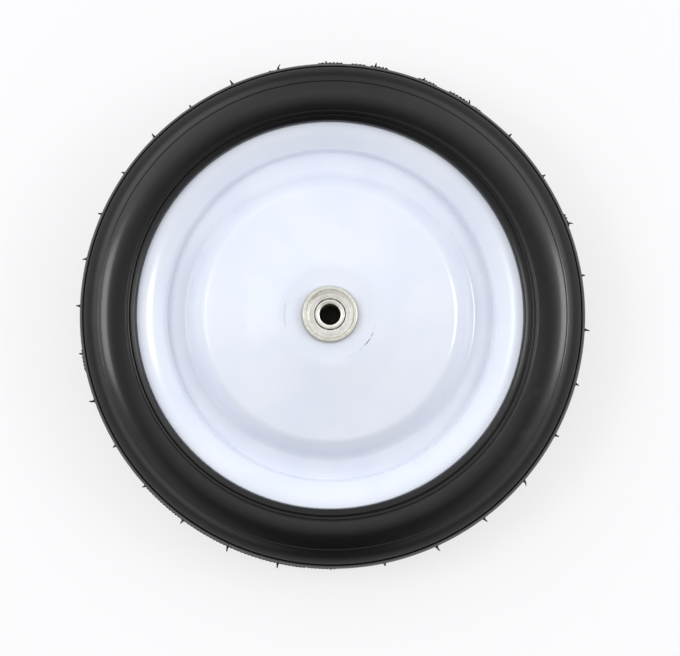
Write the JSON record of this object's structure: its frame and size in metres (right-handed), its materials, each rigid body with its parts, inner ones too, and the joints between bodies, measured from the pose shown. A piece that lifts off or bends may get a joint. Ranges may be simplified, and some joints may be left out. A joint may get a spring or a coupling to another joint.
{
  "type": "steel wheel",
  "caption": "Pressed steel disc wheel with a semi-pneumatic rubber tyre and shielded ball bearings in a tubular hub, for a garden machine on a half inch axle.",
  "frame": {"origin": "centre of the wheel: on the axle's axis, halfway between the two pressed discs", "axes": "+Z along the axle, out of the face that the picture shows; +X and +Y lie in the wheel's plane"},
  "size_m": [0.3093, 0.3094, 0.0604],
  "materials": {
    "tyre_rubber": "moulded black rubber, glossy sidewall, matte tread cap",
    "white_enamel": "gloss white enamel",
    "zinc_plate": "dull zinc plate",
    "race_steel": "ground bearing steel",
    "ball_steel": "polished",
    "cage_steel": "pressed strip",
    "shield_steel": "pressed washer, satin"
  },
  "bodies": {
    "wheel": {"tyre": "tyre_rubber", "front_disc": "white_enamel", "rear_disc": "white_enamel", "hub_tube": "zinc_plate", "front_outer_race": "race_steel", "front_outer_shield": "shield_steel", "front_inner_shield": "shield_steel", "rear_outer_race": "race_steel", "rear_outer_shield": "shield_steel", "rear_inner_shield": "shield_steel"},
    "axle_line": {"front_inner_race": "race_steel", "spacer_tube": "zinc_plate", "rear_inner_race": "race_steel"},
    "front_ball_row": {"front_balls": "ball_steel", "front_cage_outer_half": "cage_steel", "front_cage_inner_half": "cage_steel", "front_cage_rivets": "cage_steel"},
    "rear_ball_row": {"rear_balls": "ball_steel", "rear_cage_outer_half": "cage_steel", "rear_cage_inner_half": "cage_steel", "rear_cage_rivets": "cage_steel"}
  },
  "joints": [
    {"name": "axle_spin", "type": "hinge", "parent": "wheel", "child": "axle_line", "pos_m": [0, 0, 0], "axis": [0, 0, 1], "continuous": true},
    {"name": "front_ball_orbit", "type": "hinge", "parent": "wheel", "child": "front_ball_row", "pos_m": [0, 0, 0], "axis": [0, 0, 1], "continuous": true},
    {"name": "rear_ball_orbit", "type": "hinge", "parent": "wheel", "child": "rear_ball_row", "pos_m": [0, 0, 0], "axis": [0, 0, 1], "continuous": true}
  ],
  "couplings": [
    {"joint": "front_ball_orbit", "follows": "axle_spin", "ratio": 0.4038},
    {"joint": "rear_ball_orbit", "follows": "axle_spin", "ratio": 0.4038}
  ]
}
